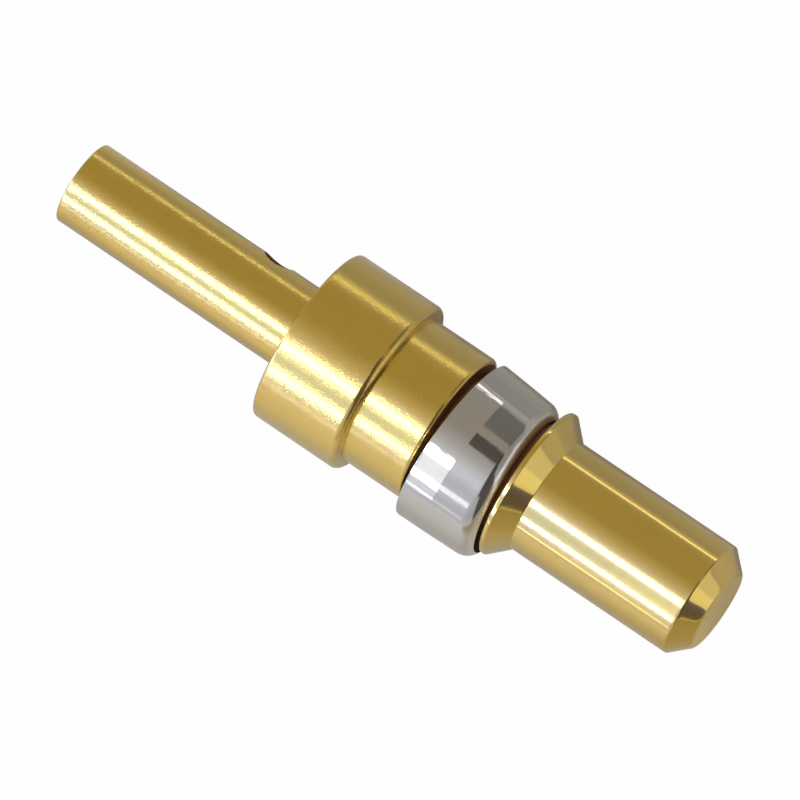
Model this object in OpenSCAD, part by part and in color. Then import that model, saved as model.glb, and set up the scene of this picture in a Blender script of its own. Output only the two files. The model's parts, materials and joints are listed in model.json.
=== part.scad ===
// Male power contact for a mixed D-shaped connector: one turned, gold-plated brass piece
// and a split retention clip that is held loosely in its groove.
// The contact lies along X with the mating tip toward +X. The origin is on the axis, at the
// collar's front face, which seats against the connector's insulator. +Z is up.

/* [Mating pin] */
// Diameter of the mating pin
pin_d = 3.6; // [2.8:0.1:4.2]
// Length of the pin's straight wall, from the flange's cone to the tip's chamfer
pin_len = 5.32; // [3:0.01:9]
// Diameter of the flat end face, out to the corner of the chamfer
tip_d = 2.5; // [1.6:0.02:2.7]
// Length of the chamfer that leads the pin into its socket
tip_chamfer = 0.58; // [0.3:0.02:1]
// Radius of the edge between the chamfer and the flat end face
tip_edge = 0.18; // [0.02:0.01:0.2]

/* [Flange] */
// Diameter of the flange that keeps the clip from sliding off toward the tip
flange_d = 4.73; // [4.6:0.02:5]
// Length of the flange's straight land
flange_land = 0.16; // [0.1:0.01:0.6]
// Edge radius at the flange's rear end
flange_edge = 0.08; // [0.02:0.01:0.09]
// Angle between the axis and the cone that falls from the flange to the pin
flange_slope = 44; // [30:1:60]

/* [Body] */
// Diameter of the body that fills the insulator's cavity behind the clip
body_d = 4.75; // [4.6:0.02:5]
// Length of the body from the collar to the clip's groove
body_len = 2.09; // [1.2:0.01:5]
// Edge radius at the body's front end
body_edge = 0.13; // [0.02:0.01:0.3]

/* [Collar] */
// Diameter of the collar
collar_d = 5.5; // [5.3:0.02:6.5]
// Length of the collar
collar_len = 2.87; // [1.5:0.01:5]
// Edge radius at the collar's front end
collar_front_edge = 0.2; // [0.02:0.01:0.24]
// Edge radius at the collar's rear end
collar_rear_edge = 0.1; // [0.02:0.01:0.4]

/* [Wire barrel] */
// Outside diameter of the barrel
barrel_d = 2.58; // [2.3:0.02:4]
// Length of the barrel behind the collar
barrel_len = 7.97; // [5:0.01:14]
// Diameter of the blind hole that takes the wire
bore_d = 1.8; // [1:0.05:1.9]
// How far the wire hole keeps its full width past the inspection hole
bore_past = 0.15; // [0:0.01:0.3]
// Full angle of the drill point that ends the wire hole
drill_angle = 118; // [90:2:140]
// Size of the lead-in chamfer inside the barrel's mouth
mouth_lead = 0.12; // [0.02:0.01:0.14]
// Edge radius outside the barrel's mouth
mouth_edge = 0.06; // [0.02:0.01:0.09]
// Diameter of the inspection hole through the barrel's side
inspect_d = 1; // [0.5:0.05:1.4]
// Distance of the inspection hole's centre behind the collar
inspect_back = 1.88; // [1.8:0.01:3.5]

/* [Retention clip] */
// Length of the clip along its axis, at its middle
clip_len = 2.31; // [1.6:0.01:3.5]
// Outside diameter at the clip's rear edge, which locks against the insulator
clip_rear_d = 5.2; // [5.1:0.01:5.4]
// Outside diameter at the crease where the taper gets steeper
clip_crease_d = 5.11; // [5.02:0.01:5.19]
// Distance of the crease from the clip's rear edge
clip_crease_at = 0.94; // [0.6:0.01:1.3]
// Outside diameter at the clip's front edge, before that edge is rounded
clip_front_d = 4.95; // [4.85:0.01:5.02]
// Thickness of the clip's strip
clip_wall = 0.3; // [0.15:0.01:0.3]
// Radius of the rounded front edge
clip_front_edge = 0.46; // [0.3:0.01:0.5]
// Width of the slit where the strip's ends face each other
clip_slit = 0.8; // [0.2:0.02:1.2]
// Axial play of the clip between the body and the flange
clip_play = 0.34; // [0.15:0.01:0.6]
// Radial room between the groove's floor and the front of a centred clip
clip_room = 0.42; // [0.2:0.01:0.6]
// Share of the radial room by which the loose clip hangs to one side
clip_side_share = 0.57; // [0:0.01:0.8]
// Share of the axial play that lies behind the loose clip
clip_behind_share = 0.6; // [0.4:0.02:0.7]
// Share of the play behind the clip that it takes up by leaning
clip_lean_share = 0.53; // [0:0.01:0.9]
// Share of the play before the clip that its out-of-square front edge takes up
clip_front_share = 0.9; // [0:0.05:0.95]

/* [Hidden] */
$fn = 96;

edge_steps = 6;
overrun = 0.1;

pin_r = pin_d / 2;
tip_r = tip_d / 2;
flange_r = flange_d / 2;
body_r = body_d / 2;
collar_r = collar_d / 2;
barrel_r = barrel_d / 2;
bore_r = bore_d / 2;

clip_rear_r = clip_rear_d / 2;
clip_crease_r = clip_crease_d / 2;
clip_front_r = clip_front_d / 2;
groove_r = clip_front_r - clip_wall - clip_room;
groove_len = clip_len + clip_play;
clip_shift = clip_side_share * clip_room;
clip_lean = asin(clip_lean_share * clip_behind_share * clip_play / clip_rear_r);
clip_front_lean = asin(clip_front_share * (1 - clip_behind_share) * clip_play / clip_front_r);
clip_slit_angle = clip_slit / (PI * clip_rear_d) * 360;
clip_front_taper = atan((clip_crease_r - clip_front_r) / (clip_len - clip_crease_at));

// The strip is rolled longer than the clip, and the rounded front edge is then cut from it
strip_len = clip_len + clip_play;
strip_end_r = clip_crease_r - (strip_len - clip_crease_at) * tan(clip_front_taper);
front_r = clip_front_r - 0.056;
front_slope = 12;
front_shift = 0.95 * clip_shift;

// Places along the axis, from the collar's front face
collar_rear_x = -collar_len;
mouth_x = collar_rear_x - barrel_len;
inspect_x = collar_rear_x - inspect_back;
bore_end_x = inspect_x + inspect_d / 2 + bore_past;
drill_tip_x = bore_end_x + bore_r / tan(drill_angle / 2);
flange_rear_x = body_len + groove_len;
flange_front_x = flange_rear_x + flange_land;
pin_start_x = flange_front_x + (flange_r - pin_r) / tan(flange_slope);
chamfer_x = pin_start_x + pin_len;
tip_x = chamfer_x + tip_chamfer;
clip_mid_x = body_len + clip_behind_share * clip_play + clip_len / 2;

chamfer_slope = atan((pin_r - tip_r) / tip_chamfer);

// A rounded corner of a turned outline. Points are [radius, place along the axis], and the two
// angles are those of the outward normals on either side, from the axis toward the outside.
function rounded(corner, from, to, edge) =
    let (middle = (from + to) / 2,
         reach = edge / cos((from - to) / 2),
         centre = corner - reach * [sin(middle), cos(middle)])
    [for (i = [0:edge_steps])
        let (a = from + (to - from) * i / edge_steps)
        centre + edge * [sin(a), cos(a)]];

// A shape turned about the X axis from an outline of [radius, place along the axis]
module turned(outline, angle = 360) {
    rotate([0, 90, 0])
        rotate([0, 0, (360 - angle) / 2])
            rotate_extrude(angle = angle)
                polygon(outline);
}

module contact_outside() {
    turned(concat(
        [[0, mouth_x]],
        rounded([barrel_r, mouth_x], 180, 90, mouth_edge),
        [[barrel_r, collar_rear_x]],
        rounded([collar_r, collar_rear_x], 180, 90, collar_rear_edge),
        rounded([collar_r, 0], 90, 0, collar_front_edge),
        [[body_r, 0]],
        rounded([body_r, body_len], 90, 0, body_edge),
        [[groove_r, body_len], [groove_r, flange_rear_x]],
        rounded([flange_r, flange_rear_x], 180, 90, flange_edge),
        [[flange_r, flange_front_x]],
        [[pin_r, pin_start_x], [pin_r, chamfer_x]],
        rounded([tip_r, tip_x], 90 - chamfer_slope, 0, tip_edge),
        [[0, tip_x]]
    ));
}

module wire_hole() {
    turned([
        [0, mouth_x - overrun],
        [bore_r + mouth_lead + overrun, mouth_x - overrun],
        [bore_r, mouth_x + mouth_lead],
        [bore_r, bore_end_x],
        [0, drill_tip_x]
    ]);
}

module inspection_hole() {
    translate([inspect_x, 0, 0])
        rotate([-90, 0, 0])
            cylinder(d = inspect_d, h = barrel_r + overrun);
}

module contact_body() {
    color([0.83, 0.66, 0.3])
        difference() {
            contact_outside();
            wire_hole();
            inspection_hole();
        }
}

// The slit faces down, and the clip hangs and leans toward -Y as it lies loose in its groove.
module clip_strip() {
    translate([clip_mid_x, -clip_shift, 0])
        rotate([0, 0, -clip_lean])
            translate([-clip_len / 2, 0, 0])
                turned([
                    [clip_rear_r - clip_wall, 0],
                    [clip_rear_r, 0],
                    [clip_crease_r, clip_crease_at],
                    [strip_end_r, strip_len],
                    [strip_end_r - clip_wall, strip_len],
                    [clip_crease_r - clip_wall, clip_crease_at]
                ], 360 - clip_slit_angle);
}

// The room inside the clip's front edge, which is rounded and a little out of square
module clip_front() {
    translate([clip_mid_x + clip_len / 2, -front_shift, 0])
        rotate([0, 0, clip_front_lean])
            turned(concat(
                [[0, -2 * clip_len]],
                [[front_r + 2 * clip_len * tan(front_slope), -2 * clip_len]],
                rounded([front_r, 0], 90 - front_slope, 0, clip_front_edge),
                [[0, 0]]
            ));
}

module retention_clip() {
    color([0.72, 0.72, 0.71])
        intersection() {
            clip_strip();
            clip_front();
        }
}

contact_body();
retention_clip();
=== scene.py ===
import bpy
import json
import math
from mathutils import Matrix, Vector


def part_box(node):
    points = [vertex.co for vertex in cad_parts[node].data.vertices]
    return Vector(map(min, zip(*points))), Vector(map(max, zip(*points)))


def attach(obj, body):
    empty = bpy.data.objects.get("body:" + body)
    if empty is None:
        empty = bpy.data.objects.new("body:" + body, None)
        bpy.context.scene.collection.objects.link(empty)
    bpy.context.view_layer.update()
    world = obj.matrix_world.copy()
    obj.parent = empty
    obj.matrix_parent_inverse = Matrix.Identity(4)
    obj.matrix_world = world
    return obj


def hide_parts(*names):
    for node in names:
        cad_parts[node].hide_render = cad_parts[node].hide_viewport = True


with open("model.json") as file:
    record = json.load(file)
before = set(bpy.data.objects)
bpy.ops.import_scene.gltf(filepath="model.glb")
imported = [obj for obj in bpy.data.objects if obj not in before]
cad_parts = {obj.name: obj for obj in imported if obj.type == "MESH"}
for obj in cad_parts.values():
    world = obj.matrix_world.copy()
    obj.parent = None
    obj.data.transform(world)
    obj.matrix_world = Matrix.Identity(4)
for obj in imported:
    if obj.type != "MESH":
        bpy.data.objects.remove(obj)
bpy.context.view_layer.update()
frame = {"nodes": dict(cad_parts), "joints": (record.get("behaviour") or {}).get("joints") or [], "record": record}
mm = 0.001
tiny = 1e-6  # metres, two places closer than this are the same
weld = 1e-7  # metres, joins the doubled points of a spin
mounts = {m["name"]: m for m in frame["record"]["mounts"]}
clipJoint = frame["joints"][0]
print("frame loaded:", sorted(frame["nodes"]))


# turned shapes: a profile is drawn point by point, its corners are rounded, and it is spun

def deselectAll():
    if bpy.context.mode != "OBJECT":
        bpy.ops.object.mode_set(mode="OBJECT")
    bpy.ops.object.select_all(action="DESELECT")


def pickNear(obj, place):
    # selects only the profile vertex at a place, in edit mode
    bpy.ops.mesh.select_all(action="DESELECT")
    bpy.ops.object.mode_set(mode="OBJECT")
    for v in obj.data.vertices:
        v.select = (v.co - place).length < tiny
    bpy.ops.object.mode_set(mode="EDIT")


def drawProfile(name, points, closed):
    # one vertex, extruded from point to point
    deselectAll()
    bpy.ops.mesh.primitive_plane_add(size=mm)
    obj = bpy.context.object
    obj.name = name
    obj.data.name = name
    bpy.ops.object.mode_set(mode="EDIT")
    bpy.ops.mesh.select_mode(type="VERT")
    bpy.ops.mesh.select_all(action="SELECT")
    bpy.ops.mesh.merge(type="CENTER")
    bpy.ops.transform.translate(value=points[0])
    for before, after in zip(points, points[1:]):
        bpy.ops.mesh.extrude_region_move(TRANSFORM_OT_translate={"value": after - before})
    if closed:
        bpy.ops.object.mode_set(mode="OBJECT")
        ends = (obj.data.vertices[0], obj.data.vertices[len(points) - 1])
        for v in obj.data.vertices:
            v.select = v in ends
        bpy.ops.object.mode_set(mode="EDIT")
        bpy.ops.mesh.edge_face_add()
    return obj


def roundCorner(obj, points, i, radius, segments):
    # a vertex bevel whose offset gives the corner its radius
    here = points[i]
    one = (points[i - 1] - here).normalized()
    two = (points[(i + 1) % len(points)] - here).normalized()
    turn = math.pi - one.angle(two)
    pickNear(obj, here)
    bpy.ops.mesh.bevel(offset=radius * math.tan(turn / 2), offset_type="OFFSET", affect="VERTICES",
                       segments=segments, profile=0.5)


def addHolds(corners, hold):
    # two more points on each long stretch, so that its shading stays straight up to the rounded corners
    full = []
    for (x0, r0, edge0), (x1, r1, edge1) in zip(corners, corners[1:]):
        full.append((x0, r0, edge0))
        span = math.hypot(x1 - x0, r1 - r0)
        if span > edge0 + edge1 + 3 * hold:  # room for both points and a stretch between them
            for gap in (edge0 + hold, span - edge1 - hold):
                share = gap / span
                full.append((x0 + (x1 - x0) * share, r0 + (r1 - r0) * share, 0))
    full.append(corners[-1])
    return full


def spinProfile(middle, axis, steps, angle):
    bpy.ops.mesh.select_all(action="SELECT")
    bpy.ops.mesh.spin(steps=steps, angle=angle, center=middle, axis=axis)
    bpy.ops.mesh.select_all(action="SELECT")
    bpy.ops.mesh.remove_doubles(threshold=weld)


def turnFacesOut():
    # ends edit mode with every face turned outward
    bpy.ops.mesh.select_all(action="SELECT")
    bpy.ops.mesh.normals_make_consistent(inside=False)
    bpy.ops.object.mode_set(mode="OBJECT")


def applyModifier(obj, kind, **settings):
    mod = obj.modifiers.new(kind.lower(), kind)
    for key, value in settings.items():
        setattr(mod, key, value)
    bpy.ops.object.modifier_apply(modifier=mod.name)


def cutWith(obj, tool, operation):
    deselectAll()
    obj.select_set(True)
    bpy.context.view_layer.objects.active = obj
    applyModifier(obj, "BOOLEAN", operation=operation, solver="EXACT", object=tool)
    bpy.data.objects.remove(tool)


def shadeTurned(angle):
    bpy.ops.object.shade_smooth_by_angle(angle=math.radians(angle), keep_sharp_edges=True)


# gold contact, sizes in millimetres from the collar's front face

low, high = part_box("contact_body")
contact = {
    "collarLength": 2.87,
    "collarRearEdge": 0.1,
    "collarFrontEdge": 0.2,
    "barrelRadius": 1.29,
    "mouthEdge": 0.06,
    "mouthLead": 0.12,
    "leadEdge": 0.02,
    "drillAngle": 118,
    "bodyRadius": 2.375,
    "bodyLength": 2.09,
    "bodyEdge": 0.13,
    "grooveRadius": 1.755,
    "flangeRear": 4.74,
    "flangeLand": 0.16,
    "flangeRadius": 2.365,
    "flangeRearEdge": 0.08,
    "flangeEdge": 0.025,
    "coneSlope": 44,
    "coneFoot": 0.03,
    "chamferLength": 0.58,
    "chamferEdge": 0.08,
    "tipRadius": 1.25,
    "tipEdge": 0.18,
    "inspectX": -4.75,
    "inspectTilt": 4,  # degrees from +Y toward +Z
    "inspectRadius": 0.5,
    "inspectSides": 96,
    "hold": 0.02,  # from a rounded corner to the point that keeps the shading straight
    "steps": 256,
    "segments": 7,
    "smoothAngle": 25,
}


def makeContact(c):
    mouth = low.x / mm
    tip = high.x / mm
    collar = high.z / mm
    pin = mounts["mating_pin"]["dims"]["r_mm"]
    bore = mounts["wire_hole"]["dims"]["r_mm"]
    boreEnd = mouth + c["mouthLead"] + mounts["wire_hole"]["dims"]["length_mm"]
    drillTip = boreEnd + bore / math.tan(math.radians(c["drillAngle"] / 2))
    land = c["flangeRear"] + c["flangeLand"]
    cone = (c["flangeRadius"] - pin) / math.tan(math.radians(c["coneSlope"]))
    corners = [  # place along the axis, radius, corner radius
        (drillTip, 0, 0),
        (boreEnd, bore, 0),
        (mouth + c["mouthLead"], bore, 0),
        (mouth, bore + c["mouthLead"], c["leadEdge"]),
        (mouth, c["barrelRadius"], c["mouthEdge"]),
        (-c["collarLength"], c["barrelRadius"], 0),
        (-c["collarLength"], collar, c["collarRearEdge"]),
        (0, collar, c["collarFrontEdge"]),
        (0, c["bodyRadius"], 0),
        (c["bodyLength"], c["bodyRadius"], c["bodyEdge"]),
        (c["bodyLength"], c["grooveRadius"], 0),
        (c["flangeRear"], c["grooveRadius"], 0),
        (c["flangeRear"], c["flangeRadius"], c["flangeRearEdge"]),
        (land, c["flangeRadius"], c["flangeEdge"]),
        (land + cone, pin, c["coneFoot"]),
        (tip - c["chamferLength"], pin, c["chamferEdge"]),
        (tip, c["tipRadius"], c["tipEdge"]),
        (tip, 0, 0),
    ]
    corners = addHolds(corners, c["hold"])
    points = [Vector((x, 0, r)) * mm for x, r, edge in corners]
    obj = drawProfile("goldContact", points, False)
    for i, (x, r, edge) in enumerate(corners):
        if edge:
            roundCorner(obj, points, i, edge * mm, c["segments"])
    spinProfile((0, 0, 0), (1, 0, 0), c["steps"], 2 * math.pi)
    turnFacesOut()
    drillInspectionHole(obj, c)
    return obj


def drillInspectionHole(obj, c):
    depth = 2 * c["barrelRadius"] * mm
    tilt = math.radians(c["inspectTilt"])
    middle = (c["inspectX"] * mm, depth / 2 * math.cos(tilt), depth / 2 * math.sin(tilt))
    deselectAll()
    bpy.ops.mesh.primitive_cylinder_add(vertices=c["inspectSides"], radius=c["inspectRadius"] * mm,
                                        depth=depth, location=middle, rotation=(math.pi / 2 + tilt, 0, 0))
    cutWith(obj, bpy.context.object, "DIFFERENCE")


goldContact = makeContact(contact)
shadeTurned(contact["smoothAngle"])
print("gold contact:", len(goldContact.data.polygons), "faces")


# retention clip: a split strip spun about its own leaning axis, whose front edge is then shaped

clip = {
    "length": 2.31,
    "stripLength": 2.65,
    "shift": -0.2394,
    "lean": -2.383,
    "rearRadius": 2.597,
    "creaseAt": 0.94,
    "creaseRadius": 2.555,
    "frontRadius": 2.475,
    "wall": 0.3,
    "rearEdge": 0.02,
    "rearHold": 0.05,  # from the rear edge to the point that keeps the shading straight
    "innerEdge": 0.03,
    "slit": 0.8,
    "edgeRadius": 2.419,
    "edgeSlope": 12,
    "edgeRound": 0.46,
    "edgeLean": 2.835,
    "edgeShift": -0.2274,
    "steps": 224,
    "segments": 7,
    "edgeSegments": 24,
    "rows": 14,
    "smoothAngle": 25,
    "wornFrom": 0.2,  # behind the rim, where the wear and the painted highlight begin and where they are full
    "wornTo": 0.08,
    "wornRough": 0.4,
    # paler colour at the rim: a painted highlight
    "wornTone": (0.82, 0.79, 0.7, 1),
}


def axisAt(lean):
    return Vector((math.cos(math.radians(lean)), math.sin(math.radians(lean)), 0))


def makeClip(c):
    middle = Vector((clipJoint["pos_m"][0], c["shift"] * mm, 0))
    axis = axisAt(c["lean"])
    slitAngle = c["slit"] / c["rearRadius"]
    outward = Matrix.Rotation(slitAngle / 2, 3, axis) @ Vector((0, 0, -1))
    half = c["length"] / 2
    rearTaper = (c["rearRadius"] - c["creaseRadius"]) / c["creaseAt"]
    taper = (c["creaseRadius"] - c["frontRadius"]) / (c["length"] - c["creaseAt"])
    frontLength = c["stripLength"] - c["creaseAt"]
    endRadius = c["creaseRadius"] - frontLength * taper
    steps = [frontLength * i / c["rows"] for i in range(1, c["rows"])]
    corners = [  # place along the clip's axis, radius, corner radius
        (-half, c["rearRadius"] - c["wall"], c["innerEdge"]),
        (-half, c["rearRadius"], c["rearEdge"]),
        (c["rearHold"] - half, c["rearRadius"] - c["rearHold"] * rearTaper, 0),
        (c["creaseAt"] - half, c["creaseRadius"], 0),
        *[(c["creaseAt"] - half + step, c["creaseRadius"] - step * taper, 0) for step in steps],
        (c["stripLength"] - half, endRadius, 0),
        (c["stripLength"] - half, endRadius - c["wall"], 0),
        (c["creaseAt"] - half, c["creaseRadius"] - c["wall"], 0),
    ]
    points = [middle + (axis * x + outward * r) * mm for x, r, edge in corners]
    obj = drawProfile("springClip", points, True)
    for i, (x, r, edge) in enumerate(corners):
        if edge:
            roundCorner(obj, points, i, edge * mm, c["segments"])
    spinProfile(middle, axis, c["steps"], 2 * math.pi - slitAngle)
    bpy.ops.mesh.select_all(action="DESELECT")
    bpy.ops.mesh.select_non_manifold()
    bpy.ops.mesh.fill_holes(sides=0)
    turnFacesOut()
    shapeFrontEdge(obj, middle, c)
    markCrease(obj, middle, axis, c)
    return obj


def shapeFrontEdge(obj, middle, c):
    # keeps what lies inside a rounded plug that stands out of square with the clip
    axis = axisAt(c["edgeLean"])
    front = Vector((middle.x + c["length"] / 2 * mm, c["edgeShift"] * mm, 0))
    outward = Vector((0, 0, 1))
    depth = 2 * c["length"]
    wide = c["edgeRadius"] + depth * math.tan(math.radians(c["edgeSlope"]))
    corners = [(-depth, 0), (-depth, wide), (0, c["edgeRadius"]), (0, 0)]
    points = [front + (axis * x + outward * r) * mm for x, r in corners]
    plug = drawProfile("edgePlug", points, False)
    roundCorner(plug, points, 2, c["edgeRound"] * mm, c["edgeSegments"])
    spinProfile(front, axis, c["steps"], 2 * math.pi)
    turnFacesOut()
    cutWith(obj, plug, "INTERSECT")


def markCrease(obj, middle, axis, c):
    # the two tapers meet at a sharp crease all round
    place = (c["creaseAt"] - c["length"] / 2) * mm
    for e in obj.data.edges:
        ends = [axis.dot(obj.data.vertices[v].co - middle) for v in e.vertices]
        e.use_edge_sharp = all(abs(x - place) < tiny for x in ends)


springClip = makeClip(clip)
shadeTurned(clip["smoothAngle"])
print("spring clip:", len(springClip.data.polygons), "faces")


# materials

def addNode(tree, kind, **inputs):
    node = tree.nodes.new(kind)
    for key, value in inputs.items():
        node.inputs[key.replace("_", " ")].default_value = value
    return node


def addRamp(tree, stops):
    ramp = tree.nodes.new("ShaderNodeValToRGB")
    points = ramp.color_ramp.elements
    while len(points) < len(stops):
        points.new(0.5)
    for point, (place, colour) in zip(points, stops):
        point.position = place
    for point, (place, colour) in zip(points, stops):
        point.color = (*colour, 1)
    return ramp


def newMaterial(name):
    mat = bpy.data.materials.new(name)
    mat.use_nodes = True
    return mat, mat.node_tree, mat.node_tree.nodes["Principled BSDF"]


def makeGrainGroup():
    # fine pits and swells of a plated surface: Height for a bump, Tone for the colour
    group = bpy.data.node_groups.new("platedGrain", "ShaderNodeTree")
    face = group.interface
    for name in ("Pit Scale", "Swell Scale", "Swell Share", "Along"):
        face.new_socket(name, in_out="INPUT", socket_type="NodeSocketFloat")
    face.new_socket("Height", in_out="OUTPUT", socket_type="NodeSocketFloat")
    face.new_socket("Tone", in_out="OUTPUT", socket_type="NodeSocketFloat")
    entry = group.nodes.new("NodeGroupInput")
    out = group.nodes.new("NodeGroupOutput")
    coords = group.nodes.new("ShaderNodeTexCoord")
    along = group.nodes.new("ShaderNodeCombineXYZ")
    along.inputs["Y"].default_value = 1
    along.inputs["Z"].default_value = 1
    drawn = group.nodes.new("ShaderNodeVectorMath")
    drawn.operation = "MULTIPLY"
    pits = addNode(group, "ShaderNodeTexNoise", Detail=1.5, Roughness=0.5)
    swells = addNode(group, "ShaderNodeTexNoise", Detail=2.0, Roughness=0.5)
    mix = group.nodes.new("ShaderNodeMix")
    link = group.links.new
    link(entry.outputs["Along"], along.inputs["X"])
    link(coords.outputs["Object"], drawn.inputs[0])
    link(along.outputs["Vector"], drawn.inputs[1])
    link(drawn.outputs["Vector"], pits.inputs["Vector"])
    link(coords.outputs["Object"], swells.inputs["Vector"])
    link(entry.outputs["Pit Scale"], pits.inputs["Scale"])
    link(entry.outputs["Swell Scale"], swells.inputs["Scale"])
    link(entry.outputs["Swell Share"], mix.inputs["Factor"])
    link(pits.outputs["Fac"], mix.inputs["A"])
    link(swells.outputs["Fac"], mix.inputs["B"])
    link(mix.outputs["Result"], out.inputs["Height"])
    link(swells.outputs["Fac"], out.inputs["Tone"])
    return group


platedGrain = makeGrainGroup()


def makePlate(name, look):
    mat, tree, bsdf = newMaterial(name)
    link = tree.links.new
    grain = tree.nodes.new("ShaderNodeGroup")
    grain.node_tree = platedGrain
    grain.inputs["Pit Scale"].default_value = look["pitScale"]
    grain.inputs["Swell Scale"].default_value = look["swellScale"]
    grain.inputs["Swell Share"].default_value = look["swellShare"]
    grain.inputs["Along"].default_value = look["along"]
    tone = tree.nodes.new("ShaderNodeMix")
    tone.data_type = "RGBA"
    tone.inputs["A"].default_value = (*look["deep"], 1)
    tone.inputs["B"].default_value = (*look["pale"], 1)
    link(grain.outputs["Tone"], tone.inputs["Factor"])
    link(tone.outputs["Result"], bsdf.inputs["Base Color"])
    bump = addNode(tree, "ShaderNodeBump", Strength=1.0, Distance=look["bumpDepth"] * mm)
    link(grain.outputs["Height"], bump.inputs["Height"])
    link(bump.outputs["Normal"], bsdf.inputs["Normal"])
    bsdf.inputs["Metallic"].default_value = 1
    bsdf.inputs["Roughness"].default_value = look["rough"]
    bsdf.inputs["Coat Weight"].default_value = look["coat"]
    bsdf.inputs["Coat IOR"].default_value = look["coatIor"]
    bsdf.inputs["Coat Roughness"].default_value = look["coatRough"]
    return mat


satinGold = makePlate("satinGold", {
    "deep": (0.645, 0.43, 0.02),
    "pale": (0.725, 0.5, 0.029),
    "pitScale": 15000,
    "swellScale": 1800,
    "swellShare": 0.06,
    "along": 1.0,
    "bumpDepth": 0.0058,
    "rough": 0.15,
    "coat": 1.0,
    "coatIor": 2.0,
    "coatRough": 0.32,
})
brightGold = makePlate("brightGold", {
    "deep": (0.66, 0.45, 0.042),
    "pale": (0.7, 0.49, 0.052),
    "pitScale": 3000,
    "swellScale": 700,
    "swellShare": 0.5,
    "along": 1.0,
    "bumpDepth": 0.002,
    "rough": 0.09,
    "coat": 1.0,
    "coatIor": 2.0,
    "coatRough": 0.32,
})
# a darker, browner copy of the gold for the groove and the holes' walls: painted shade in the recesses
grooveGold = makePlate("grooveGold", {
    "deep": (0.42, 0.22, 0.1),
    "pale": (0.48, 0.26, 0.13),
    "pitScale": 9000,
    "swellScale": 1500,
    "swellShare": 0.3,
    "along": 1.0,
    "bumpDepth": 0.01,
    "rough": 0.6,
    "coat": 0.0,
    "coatIor": 1.5,
    "coatRough": 0.3,
})
# a rougher, paler copy of the gold for the tip's end face: the paler colour is painted light on a face that
# mirrors shaded floor
tipGold = makePlate("tipGold", {
    "deep": (0.88, 0.69, 0.27),
    "pale": (0.92, 0.73, 0.3),
    "pitScale": 6000,
    "swellScale": 900,
    "swellShare": 0.5,
    "along": 1.0,
    "bumpDepth": 0.004,
    "rough": 0.42,
    "coat": 0.2,
    "coatIor": 1.5,
    "coatRough": 0.4,
})
# a dull brown copy of the nickel for the clip's inside: painted shade for the gap between clip and flange
dullNickel = makePlate("dullNickel", {
    "deep": (0.5, 0.36, 0.28),
    "pale": (0.54, 0.4, 0.32),
    "pitScale": 9000,
    "swellScale": 1500,
    "swellShare": 0.3,
    "along": 1.0,
    "bumpDepth": 0.004,
    "rough": 0.65,
    "coat": 0.0,
    "coatIor": 1.5,
    "coatRough": 0.3,
})
brightNickel = makePlate("brightNickel", {
    "deep": (0.475, 0.465, 0.435),
    "pale": (0.525, 0.515, 0.48),
    "pitScale": 26000,
    "swellScale": 600,
    "swellShare": 0.2,
    "along": 0.03,
    "bumpDepth": 0.0015,
    "rough": 0.035,
    "coat": 1.0,
    "coatIor": 1.85,
    "coatRough": 0.37,
})


def wearAndPaintedHighlightFrontEdge(mat, c):
    # the clip's rounded front edge is a little worn, so less polished toward the rim, and paler there as a painted
    # highlight
    tree = mat.node_tree
    bsdf = tree.nodes["Principled BSDF"]
    axis = axisAt(c["edgeLean"])
    front = Vector((clipJoint["pos_m"][0] + c["length"] / 2 * mm, c["edgeShift"] * mm, 0))
    coords = tree.nodes.new("ShaderNodeTexCoord")
    along = tree.nodes.new("ShaderNodeVectorMath")
    along.operation = "DOT_PRODUCT"
    along.inputs[1].default_value = axis
    rim = axis.dot(front)
    wearAndHighlight = addNode(tree, "ShaderNodeMapRange",
                   From_Min=rim - c["wornFrom"] * mm, From_Max=rim - c["wornTo"] * mm)
    rough = addNode(tree, "ShaderNodeMapRange",
                    To_Min=bsdf.inputs["Roughness"].default_value, To_Max=c["wornRough"])
    tone = tree.nodes.new("ShaderNodeMix")
    tone.data_type = "RGBA"
    tone.inputs["B"].default_value = c["wornTone"]
    link = tree.links.new
    link(bsdf.inputs["Base Color"].links[0].from_socket, tone.inputs["A"])
    link(coords.outputs["Object"], along.inputs[0])
    link(along.outputs["Value"], wearAndHighlight.inputs["Value"])
    link(wearAndHighlight.outputs["Result"], rough.inputs["Value"])
    link(wearAndHighlight.outputs["Result"], tone.inputs["Factor"])
    link(rough.outputs["Result"], bsdf.inputs["Roughness"])
    link(tone.outputs["Result"], bsdf.inputs["Base Color"])


wearAndPaintedHighlightFrontEdge(brightNickel, clip)

finish = {
    "barrelSkin": 0.03,  # millimetres, a hole's wall lies deeper than this under the barrel's outside
    "endFace": 0.999,  # share of the normal along the axis
    "wallFace": 0.3,  # share of the normal away from the axis, less on a hole's wall
    "tipFace": 0.99,  # share of the normal toward the tip
    "innerFace": -0.5,  # share of the normal away from the clip's axis, less on the clip's inside
}


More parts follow.
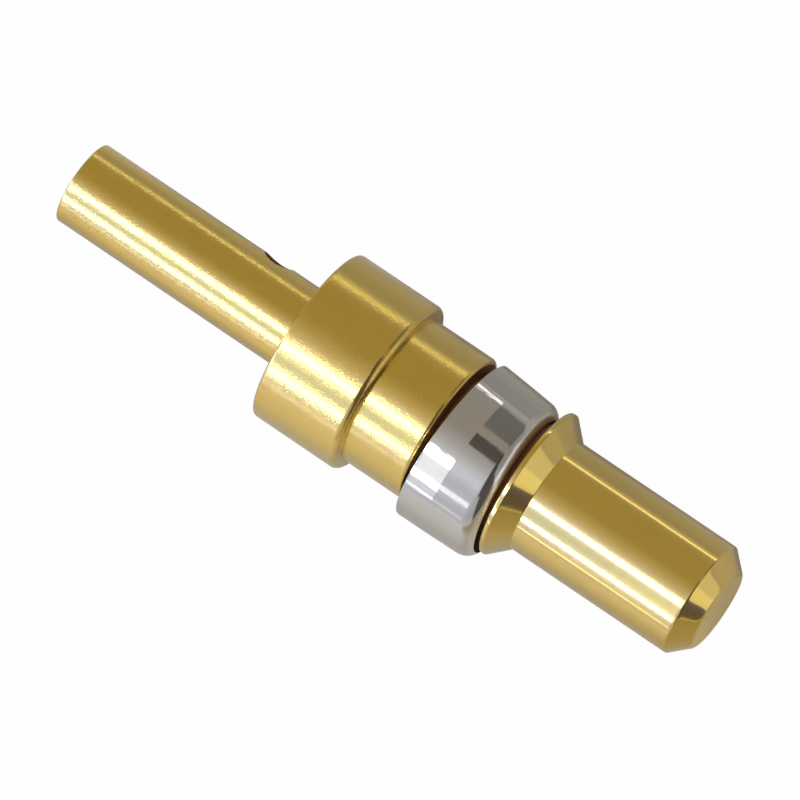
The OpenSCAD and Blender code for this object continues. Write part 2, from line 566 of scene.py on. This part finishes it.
def paintContact(obj, c, f):
    # satin up to the groove and bright past it; the groove and the holes' walls take a darker, browner gold as
    # painted shade, and the tip's end a paler gold as painted light
    golds = (satinGold, brightGold, grooveGold, tipGold)
    for mat in golds:
        obj.data.materials.append(mat)
    grooveStart = c["bodyLength"] * mm
    grooveEnd = c["flangeRear"] * mm
    grooveTop = (c["bodyRadius"] - c["bodyEdge"]) * mm
    barrelEnd = -c["collarLength"] * mm
    barrelTop = (c["barrelRadius"] - f["barrelSkin"]) * mm
    for face in obj.data.polygons:
        x = face.center.x
        depth = face.center.yz.length
        outward = face.normal.yz.dot(face.center.yz)
        inGroove = grooveStart - tiny < x < grooveEnd + tiny and depth < grooveTop
        inBarrel = x < barrelEnd and depth < barrelTop
        isWall = abs(face.normal.x) < f["endFace"] and outward < f["wallFace"] * depth
        mat = brightGold if x > grooveEnd - tiny else satinGold
        if inGroove or (inBarrel and isWall):
            mat = grooveGold
        if face.normal.x > f["tipFace"] and x > high.x - tiny:
            mat = tipGold
        face.material_index = golds.index(mat)


def paintClip(obj, c, f):
    nickels = (brightNickel, dullNickel)
    for mat in nickels:
        obj.data.materials.append(mat)
    axis = axisAt(c["lean"])
    middle = Vector((clipJoint["pos_m"][0], c["shift"] * mm, 0))
    for face in obj.data.polygons:
        out = face.center - middle
        out -= out.dot(axis) * axis
        # the clip's inside faces take the nickel with painted shade
        mat = dullNickel if face.normal.dot(out.normalized()) < f["innerFace"] else brightNickel
        face.material_index = nickels.index(mat)


paintContact(goldContact, contact, finish)
paintClip(springClip, clip, finish)
print("materials done")

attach(goldContact, "contact")
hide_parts("contact_body")
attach(springClip, "clip")
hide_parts("retention_clip")


# floor: white to the camera; beside and in front of the contact, where the metal mirrors it, its colour carries
# painted shade, darkest right under the contact, and painted light on the lamps' side

stage = {
    "floorSize": 3.0,
    "floorRough": 0.9,
    "sideTones": (  # place along Y, colour beside the contact, with painted shade and painted light
        (-0.018, (0.83, 0.78, 0.65)), (-0.01, (0.75, 0.705, 0.56)), (-0.006, (0.54, 0.505, 0.39)),
        (-0.001, (0.3, 0.285, 0.245)), (0.004, (0.51, 0.485, 0.39)), (0.008, (0.47, 0.445, 0.35)),
        (0.012, (0.36, 0.34, 0.28)),
    ),
    "frontTones": (  # place along Y, colour in front of the contact, with painted shade and painted light
        (-0.004, (0.45, 0.375, 0.17)), (0.002, (0.58, 0.545, 0.49)),
    ),
    "toneReach": 0.02,
    "frontFrom": 0.006,  # places along X between which the front's colours take over
    "frontTo": 0.014,
    "whiteShare": 0.985,  # of plain white, the rest shows the shadow
    "glossyShare": 0.1,
}


def makeFloor(s):
    deselectAll()
    bpy.ops.mesh.primitive_plane_add(size=s["floorSize"], location=(0, 0, low.z))
    floor = bpy.context.object
    floor.name = "paleFloor"
    mat, tree, bsdf = newMaterial("paleFloor")
    link = tree.links.new
    coords = tree.nodes.new("ShaderNodeTexCoord")
    parts = tree.nodes.new("ShaderNodeSeparateXYZ")
    across = addNode(tree, "ShaderNodeMapRange", From_Min=-s["toneReach"], From_Max=s["toneReach"])
    # ramps of painted shade and painted light across the floor
    side = addRamp(tree, [((y / s["toneReach"] + 1) / 2, tone) for y, tone in s["sideTones"]])
    fore = addRamp(tree, [((y / s["toneReach"] + 1) / 2, tone) for y, tone in s["frontTones"]])
    ahead = addNode(tree, "ShaderNodeMapRange", From_Min=s["frontFrom"], From_Max=s["frontTo"])
    front = tree.nodes.new("ShaderNodeMix")
    front.data_type = "RGBA"
    link(coords.outputs["Object"], parts.inputs["Vector"])
    link(parts.outputs["Y"], across.inputs["Value"])
    link(across.outputs["Result"], side.inputs["Fac"])
    link(across.outputs["Result"], fore.inputs["Fac"])
    link(parts.outputs["X"], ahead.inputs["Value"])
    link(ahead.outputs["Result"], front.inputs["Factor"])
    link(side.outputs["Color"], front.inputs["A"])
    link(fore.outputs["Color"], front.inputs["B"])
    link(front.outputs["Result"], bsdf.inputs["Base Color"])
    bsdf.inputs["Roughness"].default_value = s["floorRough"]
    bsdf.inputs["Specular IOR Level"].default_value = 0
    path = tree.nodes.new("ShaderNodeLightPath")
    white = addNode(tree, "ShaderNodeEmission", Strength=1.0)
    camera = tree.nodes.new("ShaderNodeMath")
    camera.operation = "MULTIPLY"
    camera.inputs[1].default_value = s["whiteShare"]
    glossy = tree.nodes.new("ShaderNodeMath")
    glossy.operation = "MULTIPLY_ADD"
    glossy.inputs[1].default_value = s["glossyShare"]
    clear = tree.nodes.new("ShaderNodeMath")
    clear.operation = "MULTIPLY_ADD"
    clear.inputs[1].default_value = s["whiteShare"]
    mix = tree.nodes.new("ShaderNodeMixShader")
    link(path.outputs["Is Camera Ray"], camera.inputs[0])
    link(path.outputs["Is Glossy Ray"], glossy.inputs[0])
    link(camera.outputs[0], glossy.inputs[2])
    link(path.outputs["Is Transmission Ray"], clear.inputs[0])
    link(glossy.outputs[0], clear.inputs[2])
    link(clear.outputs[0], mix.inputs["Fac"])
    link(bsdf.outputs["BSDF"], mix.inputs[1])
    link(white.outputs["Emission"], mix.inputs[2])
    link(mix.outputs["Shader"], tree.nodes["Material Output"].inputs["Surface"])
    floor.data.materials.append(mat)


makeFloor(stage)


# softboxes along the contact: angles from overhead toward the -Y side, places along X, level 1 is white

plain = (1, 1, 1.04)
cool = (1, 1.04, 1.45)
nearTint = (1, 1.1, 3.8)
nearEndTint = (1, 1.03, 1.2)
farTint = (1, 1.14, 2.1)
lampReach = 0.5
lampStart = -0.85
softboxes = {
    "highSoftbox": {"angles": (21.7, 30.7), "along": (lampStart, -0.072), "level": 12.5, "tint": cool},
    "highEnd": {"angles": (18.2, 32), "along": (-0.072, -0.057), "level": 12, "tint": plain},
    "lowSoftbox": {"angles": (57.7, 65.8), "along": (lampStart, -0.0795), "level": 13.2, "tint": cool},
    "lowEnd": {"angles": (57, 66), "along": (-0.0795, -0.07), "level": 12.8, "tint": plain},
    "lowEdge": {"angles": (54.5, 61.5), "along": (-0.07, -0.045), "level": 0.9, "tint": plain},
    "nearStrip": {"angles": (79.3, 82.7), "along": (lampStart, -0.087), "level": 1.65, "tint": nearTint},
    "nearEnd": {"angles": (79.3, 82.7), "along": (-0.087, -0.0765), "level": 2, "tint": nearEndTint},
    "nearEdge": {"angles": (79.3, 82.7), "along": (-0.0765, -0.058), "level": 0.35, "tint": plain},
    "farStrip": {"angles": (-83.2, -79.3), "along": (lampStart, -0.07), "level": 1.28, "tint": farTint},
    "farEnd": {"angles": (-83.2, -79.3), "along": (-0.07, -0.0343), "level": 2, "tint": plain},
}


def makeLamp(name, box, reach):
    # a long lamp seen from the contact between two angles
    fromAngle, toAngle = box["angles"]
    start, end = box["along"]
    length = end - start
    middle = math.radians((fromAngle + toAngle) / 2)
    width = 2 * reach * math.tan(math.radians(abs(toAngle - fromAngle)) / 2)
    data = bpy.data.lights.new(name, "AREA")
    data.color = box["tint"]
    data.shape = "RECTANGLE"
    data.size = length
    data.size_y = width
    data.energy = box["level"] * math.pi * length * width
    lamp = bpy.data.objects.new(name, data)
    bpy.context.scene.collection.objects.link(lamp)
    place = Vector(((start + end) / 2, -reach * math.sin(middle), reach * math.cos(middle)))
    back = Vector((0, place.y, place.z)).normalized()
    side = Vector((1, 0, 0))
    turn = Matrix((side, back.cross(side), back)).transposed().to_4x4()
    lamp.matrix_world = Matrix.Translation(place) @ turn


for name, box in softboxes.items():
    makeLamp(name, box, lampReach)


# cards round the contact that the metal mirrors: pale beside the softboxes, dark before and over the clip

cards = {
    "paleBetween": {
        "corners": ((-0.071, -0.261, 0.426), (-0.058, -0.261, 0.426),
                    (-0.066, -0.419, 0.272), (-0.08, -0.419, 0.272)),
        "level": 1.5,
        "tint": (1, 1, 1),
    },
    "paleBelow": {
        "corners": ((-0.087, -0.457, 0.203), (-0.073, -0.457, 0.203),
                    (-0.075, -0.491, 0.095), (-0.089, -0.491, 0.095)),
        "level": 1.05,
        "tint": (1, 1, 1),
    },
    "darkFront": {
        "corners": ((0.55, -0.092, 0.02), (0.55, -0.7, 0.02), (0.55, -0.7, 0.75), (0.55, 0.03, 0.75)),
        "level": 0.125,
        "tint": (1, 0.78, 0.68),
    },
    "darkAbove": {
        "corners": ((-0.05, 0.125, 0.7), (0.2, -0.587, 0.7), (0.55, -0.587, 0.7), (0.55, 0.125, 0.7)),
        "level": 0.1,
        "tint": (1, 0.82, 0.74),
    },
    "darkArm": {
        "corners": ((-0.038, 0.085, 0.5), (-0.038, 0.25, 0.5), (0.3, 0.25, 0.5), (0.3, 0.085, 0.5)),
        "level": 0.08,
        "tint": (1, 0.8, 0.74),
    },
    "darkSide": {
        "corners": ((-0.035, 0.4, 0.49), (-0.035, 0.55, 0.12), (0.3, 0.55, 0.12), (0.3, 0.4, 0.49)),
        "level": 0.2,
        "tint": (1, 0.97, 0.9),
    },
    "brightFront": {
        "corners": ((0.57, -0.09, 0.03), (0.57, 0.1, 0.03), (0.57, 0.1, 0.25), (0.57, -0.09, 0.25)),
        "level": 1.12,
        "tint": (1, 1.03, 1.15),
    },
    "paleFront": {
        "corners": ((0.57, 0.1, 0.0), (0.57, 0.45, 0.0), (0.57, 0.45, 0.25), (0.57, 0.1, 0.25)),
        "level": 0.86,
        "tint": (1, 0.99, 1.12),
    },
}


def makeCard(name, look):
    # a plain card of even brightness
    deselectAll()
    bpy.ops.mesh.primitive_plane_add(size=1)
    card = bpy.context.object
    card.name = name
    order = (0, 1, 3, 2)  # a plane's vertices, once round
    for i, corner in zip(order, look["corners"]):
        card.data.vertices[i].co = corner
    mat, tree, bsdf = newMaterial(name)
    bsdf.inputs["Base Color"].default_value = (0, 0, 0, 1)
    bsdf.inputs["Specular IOR Level"].default_value = 0
    bsdf.inputs["Emission Color"].default_value = (*look["tint"], 1)
    bsdf.inputs["Emission Strength"].default_value = look["level"]
    card.data.materials.append(mat)


for name, look in cards.items():
    makeCard(name, look)


# room: a soft band of tones round the contact's axis, with warmer ones behind the wire barrel

room = {
    "stops": (  # degrees from overhead toward -Y, level, warmth
        (-90, 0.64, 0.5), (-78, 0.46, 0.8), (-72, 0.46, 1), (-18, 0.47, 1), (0, 0.63, 0.5), (14, 0.76, 0.1),
        (30, 0.72, 0), (43, 0.64, 0), (55, 0.66, 0), (72, 0.6, 0), (90, 0.82, 0.2),
    ),
    "warmGreen": 0.12,  # how much of green and of blue full warmth takes away
    "warmBlue": 0.24,
    "amberStops": (  # degrees from overhead toward -Y, colour
        (-90, (0.64, 0.6, 0.48)), (-78, (0.49, 0.42, 0.16)), (-72, (0.455, 0.385, 0.14)),
        (-18, (0.465, 0.395, 0.15)), (0, (0.61, 0.54, 0.26)), (14, (0.7, 0.66, 0.45)),
        (30, (0.66, 0.83, 0.95)), (55, (0.62, 0.8, 1)), (72, (0.46, 0.53, 0.82)), (90, (0.8, 0.78, 0.74)),
    ),
    "amberFrom": -0.158,  # X of the direction, where the amber tones begin and where they are full
    "amberTo": -0.168,
}


def roundShare(degrees):
    # place on a ramp that runs once round, from -180 to 180 degrees
    return (degrees + 180) / 360


def warmed(level, warmth, r):
    return level, level * (1 - r["warmGreen"] * warmth), level * (1 - r["warmBlue"] * warmth)


def makeWorld(r):
    world = bpy.data.worlds.new("room")
    bpy.context.scene.world = world
    world.use_nodes = True
    tree = world.node_tree
    back = tree.nodes["Background"]
    link = tree.links.new
    coords = tree.nodes.new("ShaderNodeTexCoord")
    parts = tree.nodes.new("ShaderNodeSeparateXYZ")
    flip = tree.nodes.new("ShaderNodeMath")
    flip.operation = "MULTIPLY"
    flip.inputs[1].default_value = -1
    angle = tree.nodes.new("ShaderNodeMath")
    angle.operation = "ARCTAN2"
    share = addNode(tree, "ShaderNodeMapRange", From_Min=-math.pi, From_Max=math.pi)
    stops = [(roundShare(d), warmed(level, warmth, r)) for d, level, warmth in r["stops"]]
    plainTones = addRamp(tree, stops)
    amberTones = addRamp(tree, [(roundShare(d), tone) for d, tone in r["amberStops"]])
    behind = addNode(tree, "ShaderNodeMapRange", From_Min=r["amberFrom"], From_Max=r["amberTo"])
    mix = tree.nodes.new("ShaderNodeMix")
    mix.data_type = "RGBA"
    link(coords.outputs["Generated"], parts.inputs["Vector"])
    link(parts.outputs["Y"], flip.inputs[0])
    link(flip.outputs[0], angle.inputs[0])
    link(parts.outputs["Z"], angle.inputs[1])
    link(angle.outputs[0], share.inputs["Value"])
    link(share.outputs["Result"], plainTones.inputs["Fac"])
    link(share.outputs["Result"], amberTones.inputs["Fac"])
    link(parts.outputs["X"], behind.inputs["Value"])
    link(behind.outputs["Result"], mix.inputs["Factor"])
    link(plainTones.outputs["Color"], mix.inputs["A"])
    link(amberTones.outputs["Color"], mix.inputs["B"])
    link(mix.outputs["Result"], back.inputs["Color"])


makeWorld(room)
print("light done")


# camera: looks down on the contact, tilted a little toward the tip's side

view = {
    "tilt": 11.5,
    "turn": 34.03,  # degrees, of the contact's axis across the picture
    "distance": 0.35,
    "axisX": 0.3,  # millimetres, the place on the axis near the picture's middle
    "right": 1.29,  # pixels, from that place to the picture's middle
    "down": 4.09,
    "pixelsPerMm": 35.2,
    "pictureWidth": 800,
    "sensor": 36,
}


def makeCamera(v):
    tilt = math.radians(v["tilt"])
    turn = math.radians(v["turn"])
    back = Vector((math.sin(tilt), 0, math.cos(tilt)))
    along = Vector((math.cos(tilt), 0, -math.sin(tilt)))
    across = Vector((0, 1, 0))
    right = along * math.cos(turn) + across * math.sin(turn)
    up = across * math.cos(turn) - along * math.sin(turn)
    pixel = mm / v["pixelsPerMm"]
    target = Vector((v["axisX"] * mm, 0, 0)) + right * v["right"] * pixel - up * v["down"] * pixel
    data = bpy.data.cameras.new("mainCamera")
    data.sensor_width = v["sensor"]
    data.lens = v["pixelsPerMm"] / mm * v["sensor"] * v["distance"] / v["pictureWidth"]
    camera = bpy.data.objects.new("mainCamera", data)
    bpy.context.scene.collection.objects.link(camera)
    turned = Matrix((right, up, back)).transposed().to_4x4()
    camera.matrix_world = Matrix.Translation(target + back * v["distance"]) @ turned
    bpy.context.scene.camera = camera


makeCamera(view)
bpy.context.scene.view_settings.view_transform = "Standard"
print("camera done")
